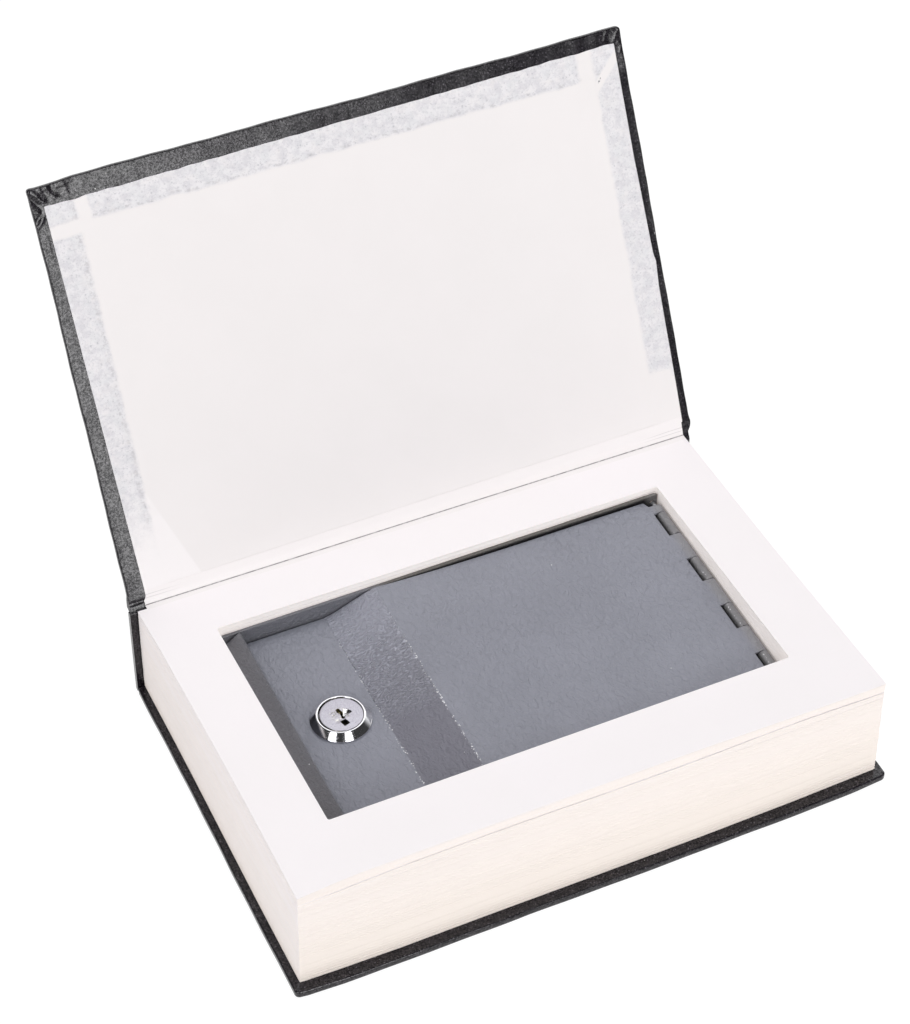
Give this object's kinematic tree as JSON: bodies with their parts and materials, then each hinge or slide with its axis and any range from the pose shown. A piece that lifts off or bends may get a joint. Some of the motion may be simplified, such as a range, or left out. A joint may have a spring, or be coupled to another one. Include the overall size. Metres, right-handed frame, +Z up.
{
  "type": "book safe",
  "caption": "Hollowed hardcover book with its front cover standing open, holding a recessed steel cash box under a hinged lid with a round cam lock.",
  "frame": {"origin": "on the table under the centre of the pages, at the underside of the back cover", "axes": "+X along the long side of the pages from the lock towards the box hinge, +Y from the fore-edge to the spine, +Z up through the pages"},
  "size_m": [0.2346, 0.2342, 0.1857],
  "materials": {
    "cover_cloth": "matte",
    "greyboard": "matte",
    "paper": "matte",
    "leaves": "matte",
    "spine_lining": "matte",
    "hammer_paint": "satin",
    "zinc_steel": "satin",
    "chrome": "polished",
    "brass": "satin"
  },
  "bodies": {
    "book": {"back_cover_cloth": "cover_cloth", "back_board": "greyboard", "back_endpaper": "paper", "spine_cloth": "cover_cloth", "spine_board": "greyboard", "spine_lining": "spine_lining", "front_joint_cloth": "cover_cloth", "lower_leaves": "leaves", "page_block": "leaves", "inner_leaves": "leaves", "upper_leaves": "leaves", "front_flyleaf": "paper", "box_tray": "hammer_paint", "lock_strike": "zinc_steel", "hinge_pin": "zinc_steel"},
    "front_cover": {"front_cover_cloth": "cover_cloth", "front_board": "greyboard", "front_pastedown": "paper"},
    "lid": {"box_lid": "hammer_paint", "lock_housing": "chrome", "lock_washer": "zinc_steel", "lock_nut": "zinc_steel"},
    "lock_plug": {"lock_plug": "chrome", "lock_cam": "zinc_steel", "cam_washer": "zinc_steel", "cam_screw": "zinc_steel", "wafer_spring_1": "zinc_steel", "wafer_spring_2": "zinc_steel", "wafer_spring_3": "zinc_steel", "wafer_spring_4": "zinc_steel"},
    "wafer_1": {"lock_wafer_1": "brass"},
    "wafer_2": {"lock_wafer_2": "brass"},
    "wafer_3": {"lock_wafer_3": "brass"},
    "wafer_4": {"lock_wafer_4": "brass"}
  },
  "joints": [
    {"name": "cover_hinge", "type": "hinge", "parent": "book", "child": "front_cover", "pos_m": [0, 0.0793, 0.0435], "axis": [-1, 0, 0], "range_deg": [-115.2, 77.8]},
    {"name": "lid_hinge", "type": "hinge", "parent": "book", "child": "lid", "pos_m": [0.0884, 0.0038, 0.0353], "axis": [0, 1, 0], "range_deg": [0, 90]},
    {"name": "lock_turn", "type": "hinge", "parent": "lid", "child": "lock_plug", "pos_m": [-0.0641, 0.0038, 0.0352], "axis": [0, 0, 1], "range_deg": [0, 90]},
    {"name": "wafer_1_slide", "type": "slide", "parent": "lock_plug", "child": "wafer_1", "axis": [1, 0, 0], "range_m": [0, 0.0006]},
    {"name": "wafer_2_slide", "type": "slide", "parent": "lock_plug", "child": "wafer_2", "axis": [0, 1, 0], "range_m": [0, 0.0006]},
    {"name": "wafer_3_slide", "type": "slide", "parent": "lock_plug", "child": "wafer_3", "axis": [1, 0, 0], "range_m": [0, 0.0006]},
    {"name": "wafer_4_slide", "type": "slide", "parent": "lock_plug", "child": "wafer_4", "axis": [0, 1, 0], "range_m": [0, 0.0006]}
  ]
}
